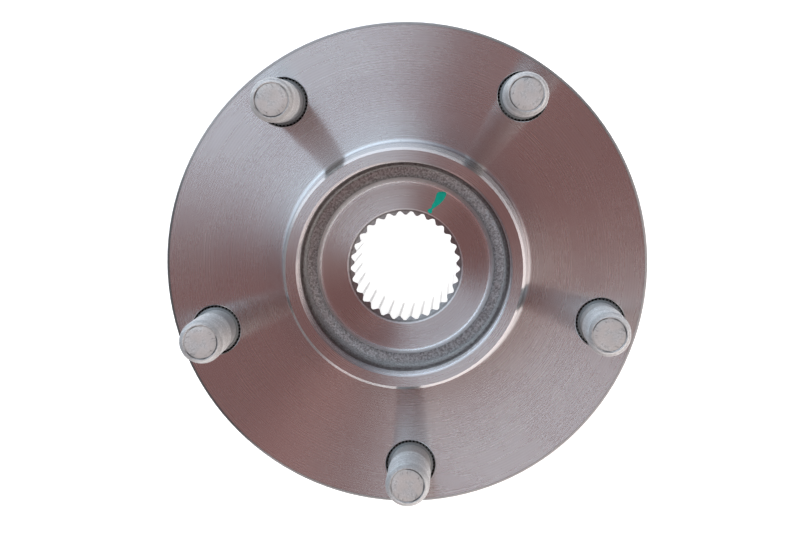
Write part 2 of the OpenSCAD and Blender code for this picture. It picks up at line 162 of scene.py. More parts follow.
def most(tree, *values):
    """The largest of two or more values, which joins masks."""
    return reduce(lambda so_far, value: calc(tree, "MAXIMUM", so_far, value), values)


def rest(tree, value):
    """What value leaves of 1."""
    return calc(tree, "SUBTRACT", 1.0, value)


print("words for arithmetic: feed, add, calc, vector, times, plus, most, rest")


# %% Ranges and colours
def rise(tree, value, start, end, low=0.0, high=1.0):
    """Goes smoothly from low to high while value goes from start to end."""
    node = add(tree, "MapRange", value, start, end, low, high, interpolation_type="SMOOTHSTEP")
    return node.outputs[0]


def between(tree, value, start, end, edge):
    """1 where value lies between start and end, falling to 0 over edge on both sides."""
    up = rise(tree, value, start - edge, start)
    down = rise(tree, value, end, end + edge)
    return times(tree, up, rest(tree, down))


def mix(tree, share, first, second):
    """The first colour where share is 0 and the second where it is 1."""
    node = add(tree, "Mix", share, data_type="RGBA")
    color_a, color_b = node.inputs[6], node.inputs[7]
    feed(tree, color_a, first)
    feed(tree, color_b, second)
    return node.outputs[2]


def gray(value, warmth=0.0):
    """A grey with an alpha of 1, a little redder where warmth is above 0."""
    return (value * (1 + warmth), value, value * (1 - 0.3 * warmth), 1)


print("a warm grey:", gray(0.5, 0.1))

# %% [markdown]
# ## Where on the piece a point lies
#
# Everything on this part is turned round one axis, so a finish mostly depends on two numbers:
# the distance r from the axis and the height z. They are worked out in millimetres from the
# object's own coordinates, so a pattern stays on the metal when the hub turns. Clouds and grains
# are noise. Turning marks are noise too, but of r and z alone, which makes rings.

# %% Places and patterns
def place(tree):
    """The point itself, its distance r from the axis and its height z, in millimetres."""
    spot = add(tree, "TexCoord").outputs["Object"]
    point = vector(tree, "MULTIPLY", spot, (1 / MM,) * 3)
    flat = vector(tree, "MULTIPLY", point, (1, 1, 0))
    r = add(tree, "VectorMath", flat, operation="LENGTH").outputs["Value"]
    return point, r, add(tree, "SeparateXYZ", point).outputs[2]


def bearing(tree, where):
    """The angle round the Z axis, in radians."""
    x, y, _ = add(tree, "SeparateXYZ", where).outputs
    return calc(tree, "ARCTAN2", y, x)


def clouds(tree, where, size, detail=3.0, roughness=0.5, squeeze=None):
    """Noise from 0 to 1 with blots about size millimetres wide, squeezed along each axis."""
    if squeeze:
        where = vector(tree, "MULTIPLY", where, squeeze)
    return add(tree, "TexNoise", where, None, 1 / size, detail, roughness).outputs[0]


def rings(tree, r, z, size, detail=2.0):
    """Noise that changes only with r and z, as the marks of a lathe tool do."""
    line = add(tree, "CombineXYZ", r, 0.0, z).outputs[0]
    return clouds(tree, line, size, detail)


print("words for patterns: place, bearing, clouds, rings")

# %% [markdown]
# ## How a finish starts and ends
#
# Every finish on the part is one surface shader, of metal unless it says otherwise.
# `material_with` starts it, and sets its constant values on the shader's own sockets, where an
# exporter can find them. `finish` ends it with the three things that vary from place to place.
# A lathe leaves marks round the axis, which stretch a shine, and `round_grain` gives the shader
# that direction.

# %% Words for finishes
def material_with(name, **constants):
    """A new material with one metal shader, as its node tree, its shader and itself."""
    material = bpy.data.materials.new(name)
    material.use_nodes = True
    shader = material.node_tree.nodes["Principled BSDF"]
    shader.inputs["Metallic"].default_value = 1
    for socket, value in constants.items():
        shader.inputs[socket.replace("_", " ")].default_value = value
    return material.node_tree, shader, material


def round_grain(tree, shader):
    """Turns the grain of an anisotropic shader round the Z axis, and returns that direction."""
    tangent = add(tree, "Tangent", direction_type="RADIAL", axis="Z").outputs[0]
    feed(tree, shader.inputs["Tangent"], tangent)
    return tangent


def relief(tree, height, depth, normal=None):
    """Bump from a height between 0 and 1, depth millimetres deep."""
    node = add(tree, "Bump")
    sockets = {"Strength": 1.0, "Distance": depth * MM, "Height": height, "Normal": normal}
    for name, value in sockets.items():
        feed(tree, node.inputs[name], value)
    return node.outputs[0]


def finish(tree, shader, color, rough, normal):
    """Feeds the colour, the roughness and the normal of a surface."""
    for name, value in {"Base Color": color, "Roughness": rough, "Normal": normal}.items():
        feed(tree, shader.inputs[name], value)


print("words for finishes: material_with, round_grain, relief, finish")

# %% [markdown]
# ## Turned steel for the hub
#
# The wheel face is cut on a lathe. Its fine grooves run round the axis and spread a reflection
# along the radius only, which gives the two pale and the two dark sectors in the photograph. An
# anisotropic shader does the same with a tangent that runs round Z. One material serves the
# whole hub. Masks by r and z tell the turned faces from the forged root of the flange, the
# ground spindle and the broached spline. Painted highlights brighten the rounded edge of the nut
# seat, the wall of the cup, the bevel at the mouth of the bore, the rims of the stud holes and the
# walls of the spline. Painted shade darkens the tooth tips, the ledge at the foot of the cup and
# the top of the pilot step.
# The sizes are those of the CAD model, and each mask reaches a little past the face it is for.
# A mask is a number from 0 to 1, and masks are joined by their product or by the larger one.

# %% Sizes of the hub in mm
FLANGE_R, FLANGE_BEVEL, FLANGE_BACK_Z = 67.75, 0.7, -10.0
ROOT_R = 43.5
STUD_COUNT, STUD_CIRCLE_R, STUD_HOLE_R, HOLE_BEVEL = 5, 57.15, 7.005, 0.2
STEP_R, STEP_OUT_R, STEP_Z = 33.0, 34.0, 7.0
PILOT_Z = 18.0
CUP_R, CUP_FOOT_Z, LEDGE_R = 29.0, 10.2, 28.0
SEAT_Z, SEAT_R, SEAT_ROUND = 8.0, 22.6, 2.0
MOUTH_R, MOUTH_Z, MOUTH_BEVEL = 15.7, 6.8, 0.35
TOOTH_TIP_R, RELIEF_R = 14.2, 16.0
print("flange:", 2 * FLANGE_R, "mm across, with", STUD_COUNT, "studs")

# %% Turned steel: below the flange and in the bore
tree, shader, turned_steel = material_with(
    "turned_steel", Anisotropic=1.0, Anisotropic_Rotation=0.25
)
point, r, z = place(tree)
round_axis = round_grain(tree, shader)

behind = rise(tree, z, FLANGE_BACK_Z - 0.2, FLANGE_BACK_Z - 0.6)
spindle = times(tree, behind, rise(tree, r, ROOT_R - 1.5, ROOT_R - 2.5))
forged_root = times(tree, behind, rise(tree, r, ROOT_R - 1.5, ROOT_R - 0.5))

in_bore = rise(tree, r, RELIEF_R + 0.3, RELIEF_R + 0.2)
spline = times(tree, in_bore, rise(tree, z, MOUTH_Z + 0.15, MOUTH_Z - 0.05))
# Painted shade on the tooth tips, only in the upper part of the bore.
shaded_tooth_tip = times(tree, spline, rise(tree, r, TOOTH_TIP_R + 0.1, TOOTH_TIP_R + 0.03))
shaded_tooth_tip = times(tree, shaded_tooth_tip, rise(tree, z, -37, -27))
in_mouth = rise(tree, r, MOUTH_R + 0.02, MOUTH_R - 0.08)
tooth_end = times(tree, in_mouth, between(tree, z, MOUTH_Z - 0.7, MOUTH_Z + 0.05, 0.05))
mouth = between(tree, r, MOUTH_R + 0.02, MOUTH_R + MOUTH_BEVEL, 0.04)
mouth = times(tree, mouth, rise(tree, z, MOUTH_Z, MOUTH_Z + 0.2))
print("masks for the root, spindle and bore:", len(tree.nodes), "nodes so far")

# %% Turned steel: the cup, the pilots and the rim
seat_edge = between(tree, r, SEAT_R + 0.9, SEAT_R + 2.1, 0.6)
seat_edge = times(tree, seat_edge, rise(tree, z, SEAT_Z - 2.4, SEAT_Z - 1.8))
cup_wall = between(tree, r, CUP_R - 0.05, CUP_R + 0.05, 0.04)
cup_wall = times(tree, cup_wall, rise(tree, z, CUP_FOOT_Z + 0.3, CUP_FOOT_Z + 0.6))
ledge = between(tree, r, LEDGE_R - 0.5, CUP_R - 0.04, 0.03)
ledge = times(tree, ledge, between(tree, z, CUP_FOOT_Z - 1.2, CUP_FOOT_Z + 0.3, 0.3))
step_top = between(tree, r, STEP_R + 0.04, STEP_OUT_R + 0.05, 0.04)
step_top = times(tree, step_top, rise(tree, z, STEP_Z - 2, STEP_Z - 1))
rim = rise(tree, r, FLANGE_R - FLANGE_BEVEL - 0.2, FLANGE_R - FLANGE_BEVEL)
print("masks for the cup, pilots and rim:", len(tree.nodes), "nodes so far")

# %% Turned steel: the stud holes
# Folding the angle into one sector of the flange gives a distance to the nearest stud.
HALF_SECTOR = math.pi / STUD_COUNT
from_first = plus(tree, bearing(tree, point), math.pi / 2)
sector = calc(tree, "WRAP", from_first, HALF_SECTOR, -HALF_SECTOR)
beyond = calc(tree, "SUBTRACT", times(tree, r, calc(tree, "COSINE", sector)), STUD_CIRCLE_R)
beside = times(tree, r, calc(tree, "SINE", sector))
squares = plus(tree, times(tree, beyond, beyond), times(tree, beside, beside))
from_stud = calc(tree, "SQRT", squares)
hole_edge = times(
    tree,
    rise(tree, from_stud, STUD_HOLE_R + 0.235, STUD_HOLE_R + 0.175),
    rise(tree, z, -HOLE_BEVEL - 0.1, -HOLE_BEVEL),
)
print("mask for the stud holes:", len(tree.nodes), "nodes so far")

# %% Turned steel: patterns and tone
RING_SPACING = 0.75
cloud = clouds(tree, point, 22, 4.0)
fine_ring = rings(tree, r, z, 0.5)
broad_ring = rings(tree, r, z, 5, 1.0)
feed_ring = calc(tree, "SINE", times(tree, r, math.tau / RING_SPACING))
tone = plus(
    tree,
    rise(tree, cloud, 0.3, 0.7, -0.025, 0.025),
    rise(tree, fine_ring, 0.25, 0.75, -0.03, 0.03),
    rise(tree, broad_ring, 0.3, 0.7, -0.02, 0.02),
)
feed_depth = rise(tree, broad_ring, 0.35, 0.65, 0.03, 0.1)
tone = calc(tree, "MULTIPLY_ADD", feed_ring, feed_depth, tone)
speck = rise(tree, clouds(tree, point, 1.1, 2.0), 0.74, 0.8, 0, 0.35)
print("patterns and tone:", len(tree.nodes), "nodes so far")

# %% Turned steel: the colour
bare = mix(tree, plus(tree, tone, 0.5), gray(0.48, 0.01), gray(0.77, 0.01))
bare = mix(tree, speck, bare, gray(0.2))
bare = mix(tree, rise(tree, r, 23, 22, 0, 0.28), bare, gray(0.3, 0.15))
bare = mix(tree, rise(tree, z, PILOT_Z - 0.7, PILOT_Z - 0.2, 0, 0.16), bare, gray(0.3))
# Painted shade: the top of the pilot step is darker, which dims what it reflects.
bare = mix(tree, times(tree, step_top, 0.45), bare, gray(0.3))
ground = mix(tree, fine_ring, gray(0.6), gray(0.75))
# Painted highlight on the spline walls, brighter than the other steel, and painted shade on the
# tooth tips.
broached_sheen_and_shade = mix(tree, shaded_tooth_tip, gray(0.95), gray(0.12))
chipped = mix(tree, clouds(tree, point, 0.5), gray(0.22), gray(0.62))
scaled = mix(tree, clouds(tree, point, 3, 5.0, 0.7), gray(0.10, 0.1), gray(0.26, 0.1))
# Painted shade: the ledge at the foot of the cup is darker, with a grain.
shaded_ledge = mix(tree, clouds(tree, point, 0.6, 4.0), gray(0.12, 0.1), gray(0.34, 0.05))
# Painted highlights: the seat edge, the cup wall, the mouth bevel and the hole rims get a brighter
# colour.
painted_highlight = most(tree, seat_edge, cup_wall, mouth, hole_edge)
edge_tone = mix(tree, rise(tree, z, -0.6, -0.9), gray(0.23), gray(0.40))
for mask, color in [
    (spindle, ground),
    (spline, broached_sheen_and_shade),
    (tooth_end, chipped),
    (painted_highlight, mix(tree, cup_wall, gray(1.0), gray(0.88))),
    (rim, edge_tone),
    (ledge, shaded_ledge),
    (forged_root, scaled),
]:
    bare = mix(tree, mask, bare, color)
feed(tree, shader.inputs["Base Color"], bare)
print("turned steel with its colour:", len(tree.nodes), "nodes so far")

# %% Turned steel: the roughness
edge_change = rise(tree, r, 23.3, 24.1, -0.06, 0.10)
rough = plus(
    tree,
    0.27,
    rise(tree, fine_ring, 0.25, 0.75, -0.02, 0.02),
    rise(tree, cloud, 0.35, 0.65, -0.015, 0.015),
    times(tree, tooth_end, 0.35),
    times(tree, seat_edge, edge_change),
    times(tree, cup_wall, -0.09),
    times(tree, spline, -0.17),
    times(tree, most(tree, ledge, mouth, hole_edge), 0.3),
)
feed(tree, shader.inputs["Roughness"], rise(tree, forged_root, 0, 1, rough, 0.62))
print("turned steel, without its marks:", len(tree.nodes), "nodes")

# %% [markdown]
# ## The marks of the feed
#
# A lathe tool with a rounded nose leaves a row of tiny scallops, one for each turn of the work.
# From above they can't be told apart, but each throws light over a fan of directions along the
# radius. That is why a stud is mirrored as one long, sharp streak towards the middle. The true
# slope of a scallop is worked out from the radius and leaned on the normal, and a bump map isn't
# used, because a bump is blurred wherever a mark is thinner than a pixel. On the wall of the cup
# the marks are coarser. A part of each one looks up, so the wall is bright from above.

# %% Scallops
# On a wall the marks follow the height, and a mm of it counts as a part of a mm of radius.
FEED = 0.28
SCALLOP_SLOPE = 0.3
HEIGHT_SHARE = 0.37
facing = add(tree, "NewGeometry").outputs["Normal"]
along = plus(tree, r, times(tree, z, HEIGHT_SHARE))
phase = calc(tree, "FRACT", times(tree, along, 1 / FEED))
slope = times(tree, calc(tree, "MULTIPLY_ADD", phase, 2.0, -1.0), SCALLOP_SLOPE)
turned = rest(tree, most(tree, forged_root, spline, tooth_end, seat_edge, ledge, hole_edge))
level_face = add(tree, "SeparateXYZ", facing).outputs[2]
slope = times(tree, slope, times(tree, turned, rise(tree, level_face, 0.9, 0.99, 0.3, 1)))
groove_lift = times(tree, cup_wall, rise(tree, phase, 0.7, 0.75, 0, 1.2))
print("slope of the marks:", len(tree.nodes), "nodes so far")

# %% The leaned normal
across = vector(tree, "CROSS_PRODUCT", facing, round_axis)
lean = add(tree, "VectorMath", across, operation="SCALE")
feed(tree, lean.inputs["Scale"], slope)
lifted = add(tree, "CombineXYZ", 0.0, 0.0, groove_lift).outputs[0]
tilted = vector(tree, "ADD", vector(tree, "ADD", facing, lean.outputs[0]), lifted)
tilted = vector(tree, "NORMALIZE", tilted)
grit = times(tree, clouds(tree, point, 0.8, 4.0, 0.6), forged_root)
feed(tree, shader.inputs["Normal"], relief(tree, grit, 0.25, tilted))


def dress(piece, material):
    """Gives a piece one material, in its first slot."""
    piece.data.materials.clear()
    piece.data.materials.append(material)


hub = nodes["wheel_hub"]
dress(hub, turned_steel)
print("turned steel:", len(tree.nodes), "nodes; hub faces:", len(hub.data.polygons))

# %% [markdown]
# ## Words for making meshes
#
# Most shapes that this script adds are turned too: rows of points, each row a ring at its own
# height. `ring_points` gives the points, `tube_faces` joins the rows with quads, and a mesh made
# from them can be used by several pieces.

# %% Points and faces
def round_point(radius, angle, height):
    """A point in metres from a radius and a height in mm."""
    return Vector((radius * math.cos(angle), radius * math.sin(angle), height)) * MM


def ring_points(rows, columns):
    """The points of rows of radius and height. A radius may be a function of angle and height."""
    points = []
    for radius, height in rows:
        for column in range(columns):
            angle = column * math.tau / columns
            reach = radius(angle, height) if callable(radius) else radius
            points.append(round_point(reach, angle, height))
    return points


def tube_faces(rows, columns, closed=False):
    """Quads over rows of columns points. Closed joins the last row to the first."""
    faces = []
    for row in range(rows if closed else rows - 1):
        here, above = row * columns, (row + 1) % rows * columns
        for column in range(columns):
            beside = (column + 1) % columns
            faces.append((here + column, here + beside, above + beside, above + column))
    return faces


print("faces of a small tube:", len(tube_faces(3, 8)))


# %% Meshes and pieces
def mesh_from(name, points, faces, material):
    """A smooth mesh with one material, from points in metres."""
    mesh = bpy.data.meshes.new(name)
    mesh.from_pydata([tuple(p) for p in points], [], faces)
    mesh.validate()
    mesh.polygons.foreach_set("use_smooth", [True] * len(mesh.polygons))
    mesh.materials.append(material)
    return mesh


def piece_from(name, mesh, body, where=None):
    """A piece of a mesh, put in its place, that rides on a body."""
    piece = bpy.data.objects.new(name, mesh)
    scene.collection.objects.link(piece)
    if where is not None:
        piece.matrix_world = where
    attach(piece, body)
    return piece


print("words for meshes: mesh_from, piece_from")

# %% [markdown]
# ## The forged groove
#
# Between the nut seat and the pilot ring the forging was never cut, so the groove has the rough
# skin that comes out of the die and the shot blaster. A bump map would leave its outline smooth,
# so the skin is a real mesh: rays cast from the middle of the groove find the CAD surface all
# round, and each point stands a little off it, by an amount that noise chooses. The groove ends
# under a small ledge at the foot of the cup's wall. Its own rays can't reach the top of that
# ledge, so a few more come straight down on it.

# %% The groove's profile
GROOVE_MIDDLE = Vector((26.2, 0, 5.4)) * MM
# From level inwards, down over the floor, and up the wall to just below the ledge.
GROOVE_ANGLES = np.radians(np.linspace(180, 428, 68))
LEDGE_REACHES = np.linspace(LEDGE_R + 0.05, LEDGE_R + 0.6, 5)
surface = BVHTree.FromObject(hub, bpy.context.evaluated_depsgraph_get())
profile = []


def probe(start, way):
    """Adds the point of the hub that a ray meets first, and where the surface faces there."""
    hit, normal, _, _ = surface.ray_cast(start, way)
    profile.append((hit, normal.normalized()))


for angle in GROOVE_ANGLES:
    probe(GROOVE_MIDDLE, Vector((math.cos(angle), 0, math.sin(angle))))
for reach in LEDGE_REACHES:
    probe(Vector((reach, 0, 14)) * MM, Vector((0, 0, -1)))
length = sum((b[0] - a[0]).length for a, b in zip(profile, profile[1:]))
print("groove profile:", len(profile), "points over", round(length / MM, 2), "mm")

# %% The groove's skin
GROOVE_COLUMNS = 760
SKIN_LEAST = 0.02
FADE_ROWS = 3


def forged_height(spot):
    """How far the forged skin stands off, in mm, at a spot in mm."""
    lumps = noise.fractal(spot * 0.45, 0.8, 2.1, 3)
    grains = noise.fractal(spot * 2.4, 0.5, 2.2, 3)
    return 0.10 + 0.07 * lumps + 0.12 * grains


groove_points = []
for index, (spot, normal) in enumerate(profile):
    fade = min(1, index / FADE_ROWS, (len(profile) - 1 - index) / FADE_ROWS)
    for column in range(GROOVE_COLUMNS):
        turn = Matrix.Rotation(column * math.tau / GROOVE_COLUMNS, 3, "Z")
        base, out = turn @ spot, turn @ normal
        off = SKIN_LEAST + fade * max(0.0, forged_height(base / MM))
        groove_points.append(base + out * off * MM)
print("skin points:", len(groove_points))

# %% [markdown]
# ## Forged skin
#
# Blasted scale is dull metal with pale peaks and dark pits, so its colour follows a fine grain.
# The skin is painted darker up the wall than on the floor of the groove, and darkest where it
# meets the ledge, as painted shade. In the photograph the skin still has pale and dark sectors,
# weaker than those of the turned steel. So it is mostly metal here too, and its shine is
# stretched round the axis, but it is much rougher.

# %% Forged skin
tree, shader, forged_skin = material_with(
    "forged_skin", Metallic=0.7, Anisotropic=0.85, Anisotropic_Rotation=0.25
)
point, r, z = place(tree)
round_grain(tree, shader)
grain = rise(tree, clouds(tree, point, 0.5, 4.0, 0.65), 0.3, 0.7)
floor_skin = mix(tree, grain, gray(0.38, 0.02), gray(0.98, -0.02))
# Painted shade: the skin is darker up the wall than on the floor.
shaded_wall_skin = mix(tree, grain, gray(0.14, 0.04), gray(0.76, 0.0))
scale_skin = mix(tree, rise(tree, z, 9.5, 4.5), shaded_wall_skin, floor_skin)
# Painted shade, near black, where the groove meets the ledge.
shade_under_ledge = rise(tree, r, LEDGE_R - 0.4, LEDGE_R + 0.1, 0, 0.8)
finish(
    tree,
    shader,
    mix(tree, shade_under_ledge, scale_skin, gray(0.05, 0.2)),
    rise(tree, grain, 0, 1, 0.55, 0.38),
    relief(tree, clouds(tree, point, 0.35, 3.0, 0.6), 0.15),
)
groove_faces = tube_faces(len(profile), GROOVE_COLUMNS)
groove_mesh = mesh_from("forged_groove", groove_points, groove_faces, forged_skin)
skin = piece_from("forged_groove", groove_mesh, "hub")
print("forged skin:", len(skin.data.polygons), "faces")

# %% [markdown]
# ## The wheel studs
#
# Each stud is a cold-headed bolt: a round head behind the flange, a knurl that bites into the
# hole, a low shoulder, a plain shank and a rolled thread with a bevelled, slightly dished point.
# Rolling pushes metal outwards, so the plain shank is thinner than the crests of the thread. The
# thread of the CAD studs is a row of plain ring grooves. Here each stud is replaced by a mesh
# whose radius follows the real helix, worked out row by row. All five share that one mesh,
# turned and placed from the boxes of the CAD studs, so they can't drift from them.

# %% Sizes of a stud in mm
# Half the flat of a thread's root and the width of its flank are shares of the pitch.
STUD_COLUMNS = 96
THREAD_PITCH, THREAD_DEPTH, THREAD_START = 1.5, 0.80, 10.0
THREAD_STEPS = 14
HALF_ROOT_FLAT, FLANK = 0.0625, 0.36
SHANK_R, CREST_R = 5.62, 5.95
POINT_R, POINT_L = 4.8, 1.7
KNURL_RIDGES, KNURL_ROOT_R, KNURL_DEPTH, KNURL_TOP_Z = 40, 6.775, 0.345, -1.5
head_z, tip_z = (corner.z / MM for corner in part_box("wheel_stud_1"))
print("stud from", round(head_z, 2), "to", round(tip_z, 2), "mm")


# %% Stud shape
def knurl_r(angle, height):
    """Radius of the knurl: rounded ridges between its two leads."""
    ridge = 0.5 + 0.5 * math.cos(angle * KNURL_RIDGES)
    lead = min(1, (height - FLANGE_BACK_Z) / 0.4, (KNURL_TOP_Z - height) / 0.25)
    return KNURL_ROOT_R + KNURL_DEPTH * ridge * max(0.0, lead)


def point_r(height):
    """Largest radius that the bevel at the point leaves."""
    return POINT_R + (tip_z - height) * (CREST_R - POINT_R) / POINT_L


def thread_r(angle, height):
    """Radius of a rolled thread at one height, rising out of the plain shank."""
    phase = (height / THREAD_PITCH - angle / math.tau) % 1
    groove = min(1, max(0, (abs(phase - 0.5) - HALF_ROOT_FLAT) / FLANK))
    groove = 1 - groove * groove * (3 - 2 * groove)
    fade = min(1, max(0, (height - THREAD_START) / THREAD_PITCH))
    reach = SHANK_R + (CREST_R - SHANK_R - THREAD_DEPTH * groove) * fade
    return min(reach, point_r(height))


def stud_rows():
    """Rows of a stud from the middle of its head to the middle of its point."""
    under_head, thread_step = FLANGE_BACK_Z, THREAD_PITCH / THREAD_STEPS
    head = [(0.4, 0), (8.2, 0), (8.45, 0), (8.9, 0.25), (9.2, 0.62), (9.25, 0.8)]
    neck = [(9.25, -0.35), (9.15, -0.08), (8.9, 0), (7.2, 0)]
    shoulder = [(6.5, -1.46), (6.45, -1.3), (6.42, -0.3), (6.34, -0.14), (5.8, -0.06), (5.68, 0.0)]
    dish = [
        (POINT_R, 0), (POINT_R - 0.1, 0), (4.62, -0.02), (4.52, -0.3), (4.42, -0.36),
        (4.3, -0.24), (4.15, -0.18), (2.4, -0.24), (0.4, -0.26),
    ]
    rows = [(radius, head_z + lift) for radius, lift in head]
    rows += [(radius, under_head + lift) for radius, lift in neck]
    rows += [(knurl_r, height) for height in np.linspace(under_head + 0.02, KNURL_TOP_Z, 12)]
    rows += shoulder + [(SHANK_R, 0.2), (SHANK_R, 5.0)]
    rows += [(thread_r, height) for height in np.arange(THREAD_START, tip_z - 0.02, thread_step)]
    return rows + [(radius, tip_z + lift) for radius, lift in dish]


print("stud rows:", len(stud_rows()))

# %% [markdown]
# ## One mesh for five studs
#
# The rows become rings of points, and quads join each ring to the next. The first and the last
# ring are small, and one face fills each, so the mesh is closed like the solid it stands for.

# %% Stud mesh
stud_points = ring_points(stud_rows(), STUD_COLUMNS)
last_row = len(stud_points) - STUD_COLUMNS
stud_faces = tube_faces(len(stud_rows()), STUD_COLUMNS)
stud_faces.append(tuple(reversed(range(STUD_COLUMNS))))
stud_faces.append(tuple(range(last_row, len(stud_points))))
print("stud mesh:", len(stud_faces), "faces")

# %% [markdown]
# ## Zinc on the studs
#
# The studs are coated with zinc flake, a matte light grey with a fine sandy speckle. It is
# a thin paint of metal flakes, so it is less of a mirror than bare steel: half metal, and
# rough. The roots of the thread and the gaps between the ridges of the knurl are painted dark as
# painted shade, and the knurl shows as a ring of beads in the mouth of the hole. The dish in the
# point is a little warmer, with small stains from handling and a dark line of painted shade in
# the groove where it meets its rim.

# %% Zinc flake: the coat
tree, shader, zinc_flake = material_with("zinc_flake", Metallic=0.55)
point, r, z = place(tree)
sand = clouds(tree, point, 0.45, 4.0, 0.75)
patch = clouds(tree, point, 2.5, 4.0, 0.6)
bands = clouds(tree, point, 1.3, 2.0, squeeze=(0.1, 0.1, 1))
coat = mix(tree, rise(tree, sand, 0.3, 0.7), gray(0.37, -0.02), gray(0.70, -0.02))
coat = mix(tree, rise(tree, patch, 0.35, 0.65, 0, 0.5), coat, gray(0.47, -0.03))
coat = mix(tree, rise(tree, bands, 0.42, 0.6, 0, 0.4), coat, gray(0.30))
# Painted shade in the roots of the thread.
thread_root_shade = times(tree, rise(tree, r, 5.9, 5.5), between(tree, z, 11.5, 27.4, 0.8))
coat = mix(tree, times(tree, thread_root_shade, 0.6), coat, gray(0.16))
print("zinc coat:", len(tree.nodes), "nodes so far")

# %% Zinc flake: the point
tip = rise(tree, z, tip_z - 1.0, tip_z - 0.7)
dish = times(tree, rise(tree, r, 4.55, 4.45), tip)
coat = mix(tree, times(tree, dish, rise(tree, patch, 0.3, 0.7, 0.1, 0.5)), coat, gray(0.34))
halo = clouds(tree, point, 5, 2.0, 0.6)
warm_spot = times(tree, dish, rise(tree, halo, 0.42, 0.58, 0, 0.5))
coat = mix(tree, warm_spot, coat, (0.56, 0.525, 0.50, 1))
smear = clouds(tree, point, 0.9, 5.0, 0.7, squeeze=(0.4, 1.3, 1))
stain = times(tree, rise(tree, smear, 0.52, 0.68), between(tree, r, 3.5, 4.4, 1.0), 0.55)
# Painted shade: a dark line in the groove round the dish, joined with the real stains.
dish_groove_shade = between(tree, r, 4.3, 4.58, 0.08)
dish_groove_shade = times(tree, dish_groove_shade, rise(tree, halo, 0.6, 0.4, 0.05, 0.85))
coat = mix(tree, times(tree, most(tree, dish_groove_shade, stain), tip), coat, gray(0.06))
bevel = times(tree, rise(tree, z, tip_z - 1.8, tip_z - 1.5), rise(tree, r, 4.6, 4.75))
coat = mix(tree, times(tree, bevel, rise(tree, smear, 0.35, 0.6, 0.1, 0.5)), coat, gray(0.30))
print("zinc at the point:", len(tree.nodes), "nodes so far")

# %% Zinc flake: the foot
shoulder = times(tree, rise(tree, z, 0.1, 0.0), rise(tree, r, SHANK_R + 0.04, SHANK_R + 0.1))
coat = mix(tree, shoulder, coat, gray(0.17, -0.05))
# Painted shade: near black between the ridges of the knurl, grey on their tops.
ridge = calc(tree, "COSINE", times(tree, bearing(tree, point), float(KNURL_RIDGES)))
knurl_shade = mix(tree, rise(tree, ridge, -0.2, 0.4), gray(0.35), gray(0.01))
coat = mix(tree, between(tree, z, -1.6, -0.45, 0.1), coat, knurl_shade)
finish(tree, shader, coat, rise(tree, sand, 0.3, 0.7, 0.58, 0.44), relief(tree, sand, 0.05))
print("zinc flake:", len(tree.nodes), "nodes")

# %% [markdown]
# ## The studs in their holes
#
# A press pushes each stud in from behind until its head sits on the flange. Each copy goes to
# the middle of its CAD stud and is turned to face outwards, so the stains and the start of the
# thread don't all point one way.

# %% Place the studs
stud_mesh = mesh_from("stud_1_threaded", stud_points, stud_faces, zinc_flake)
for number in range(1, STUD_COUNT + 1):
    low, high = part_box(f"wheel_stud_{number}")
    centre = (low + high) / 2
    turn = Matrix.Rotation(math.atan2(centre.y, centre.x), 4, "Z")
    where = Matrix.Translation((centre.x, centre.y, 0)) @ turn
    stud = piece_from(f"stud_{number}_threaded", stud_mesh, "hub", where)
    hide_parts(f"wheel_stud_{number}")

# %% [markdown]
# ## The paint mark
#
# Someone at the works drew one stroke of teal paint across the nut seat, from a small blob at
# the bore to a broad end at the rounded edge. Paint has a thickness, so the mark is a thin
# closed body: the outline is filled, its inner part is lifted, its rim slopes down to the steel,
# and it follows the seat where that rounds off.

# %% Paint mark: the shape
PAINT_OUTLINE = [
    (9.40, 20.23), (9.89, 20.41), (10.73, 20.47), (11.50, 20.37), (11.78, 20.00),
    (11.73, 19.33), (11.43, 18.78), (11.08, 18.16), (10.59, 17.68), (10.03, 17.12),
    (9.40, 16.64), (8.84, 16.23), (8.28, 15.88), (7.93, 15.67), (7.79, 15.33),
    (7.76, 14.78), (7.44, 14.43), (6.95, 14.64), (6.56, 15.05), (6.53, 15.47),
    (6.88, 15.74), (7.44, 15.88), (7.72, 16.16), (7.72, 16.64), (8.00, 17.12),
    (8.42, 17.68), (8.70, 18.37), (8.94, 19.20), (9.12, 19.82),
]
PAINT_THICK, PAINT_RIM, PAINT_LIFT = 0.05, 0.12, 0.004


def seat_height(px, py):
    """Height of the nut seat, which rounds off beyond its flat face."""
    past = min(SEAT_ROUND, max(0.0, math.hypot(px, py) - SEAT_R))
    return SEAT_Z - SEAT_ROUND + math.sqrt(SEAT_ROUND ** 2 - past ** 2)


def fill_paint(mesh):
    """Puts the mark into a mesh, in metres: a filled outline with a bevelled rim, closed below."""
    shape = bmesh.new()
    outline = [Vector((px, py, seat_height(px, py) + PAINT_LIFT)) * MM for px, py in PAINT_OUTLINE]
    face = shape.faces.new([shape.verts.new(spot) for spot in outline])
    inset = bmesh.ops.inset_region(
        shape, faces=[face], thickness=PAINT_RIM * MM, use_even_offset=True
    )
    for vert in {v for f in shape.faces if f not in inset["faces"] for v in f.verts}:
        vert.co.z += PAINT_THICK * MM
    bmesh.ops.holes_fill(shape, edges=[edge for edge in shape.edges if edge.is_boundary])
    shape.normal_update()
    shape.to_mesh(mesh)
    shape.free()


print("paint outline:", len(PAINT_OUTLINE), "points")

# %% [markdown]
# ## Marking paint
#
# Marking paint dries to a dull film that is thicker in some strokes of the brush than in
# others. It isn't metal, so it has a colour of its own and mirrors little. Two close greens
# mixed by a cloud are enough at this size.

